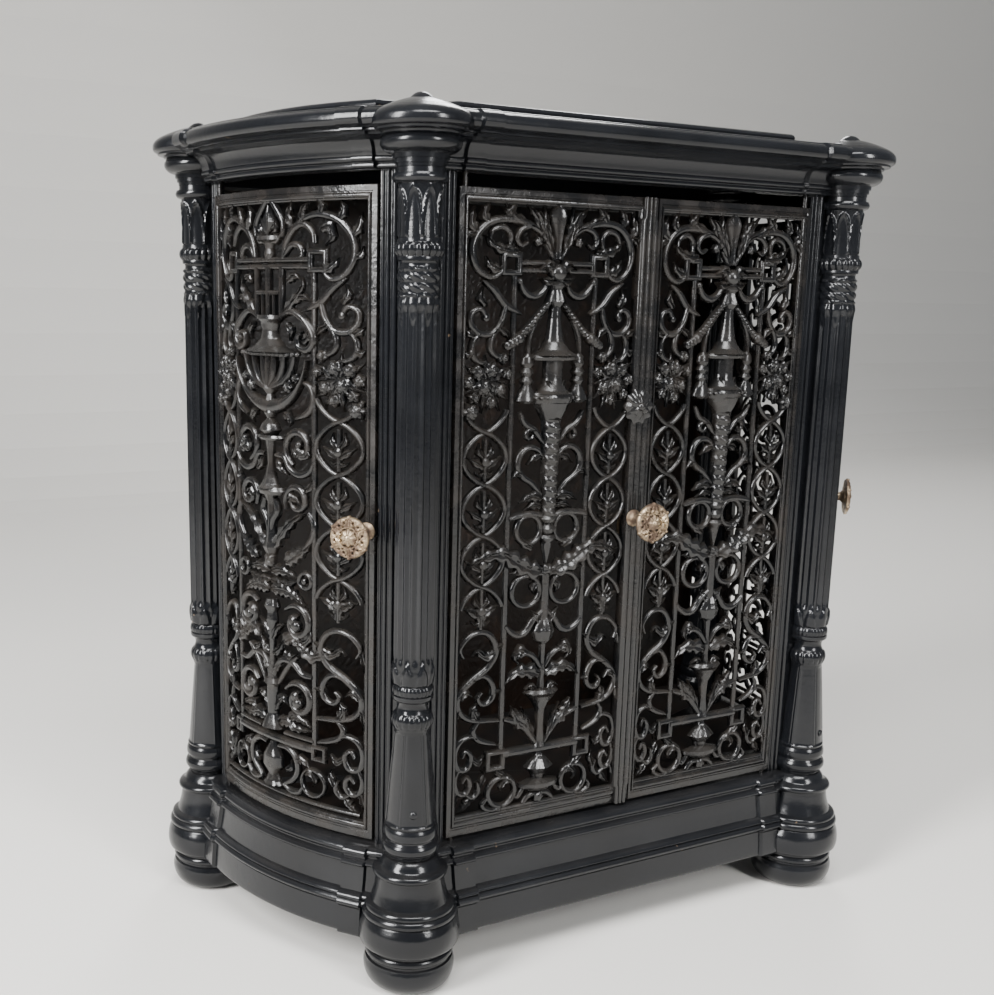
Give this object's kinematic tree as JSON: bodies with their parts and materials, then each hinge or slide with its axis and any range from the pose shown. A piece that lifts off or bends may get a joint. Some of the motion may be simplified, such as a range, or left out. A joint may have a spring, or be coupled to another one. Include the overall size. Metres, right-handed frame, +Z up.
{
  "type": "cast iron fireplace insert",
  "caption": "Cast iron fireplace insert: free-standing cabinet with a straight front, bowed sides, fluted columns on bun feet, a coved cornice and hinged openwork doors.",
  "frame": {"origin": "on the floor, below the middle of the overall box", "axes": "+Z up, front doors towards -Y, +X to the right seen from the front"},
  "size_m": [0.898, 0.407, 0.919],
  "materials": {
    "black_enamel": "glossy black enamel, dusty on top",
    "worn_grille": "worn dark enamel with brown iron on the edges",
    "rusty_iron": "dark brown rust",
    "aged_gilt": "aged gilt brass"
  },
  "bodies": {
    "cabinet": {"base": "black_enamel", "cornice": "black_enamel", "cover_plate": "black_enamel", "back_plate": "rusty_iron", "foot_front_left": "black_enamel", "foot_front_right": "black_enamel", "foot_back_left": "black_enamel", "foot_back_right": "black_enamel", "column_front_left": "black_enamel", "column_front_right": "black_enamel", "column_back_left": "black_enamel", "column_back_right": "black_enamel"},
    "front_left_leaf": {"front_left_door": "worn_grille"},
    "front_right_leaf": {"front_right_door": "worn_grille"},
    "left_side_leaf": {"left_side_door": "worn_grille"},
    "right_side_leaf": {"right_side_door": "worn_grille"},
    "front_pull": {"front_knob": "aged_gilt"},
    "left_side_pull": {"left_side_knob": "aged_gilt"},
    "right_side_pull": {"right_side_knob": "aged_gilt"}
  },
  "joints": [
    {"name": "front_left_hinge", "type": "hinge", "parent": "cabinet", "child": "front_left_leaf", "pos_m": [-0.226, -0.1395, 0.15], "axis": [0, 0, 1], "range_deg": [-110, 0]},
    {"name": "front_right_hinge", "type": "hinge", "parent": "cabinet", "child": "front_right_leaf", "pos_m": [0.226, -0.1395, 0.15], "axis": [0, 0, 1], "range_deg": [0, 110]},
    {"name": "left_side_hinge", "type": "hinge", "parent": "cabinet", "child": "left_side_leaf", "pos_m": [-0.38819, 0.11965, 0.15], "axis": [0, 0, 1], "range_deg": [-100, 0]},
    {"name": "right_side_hinge", "type": "hinge", "parent": "cabinet", "child": "right_side_leaf", "pos_m": [0.38819, 0.11965, 0.15], "axis": [0, 0, 1], "range_deg": [0, 100]},
    {"name": "front_catch", "type": "hinge", "parent": "front_left_leaf", "child": "front_pull", "pos_m": [-0.005, -0.1435, 0.491], "axis": [0, -1, 0], "range_deg": [0, 90]},
    {"name": "left_side_catch", "type": "hinge", "parent": "left_side_leaf", "child": "left_side_pull", "pos_m": [-0.31313, -0.10468, 0.491], "axis": [-0.7869, -0.617, 0], "range_deg": [0, 90]},
    {"name": "right_side_catch", "type": "hinge", "parent": "right_side_leaf", "child": "right_side_pull", "pos_m": [0.31313, -0.10468, 0.491], "axis": [0.7869, -0.617, 0], "range_deg": [-90, 0]}
  ]
}
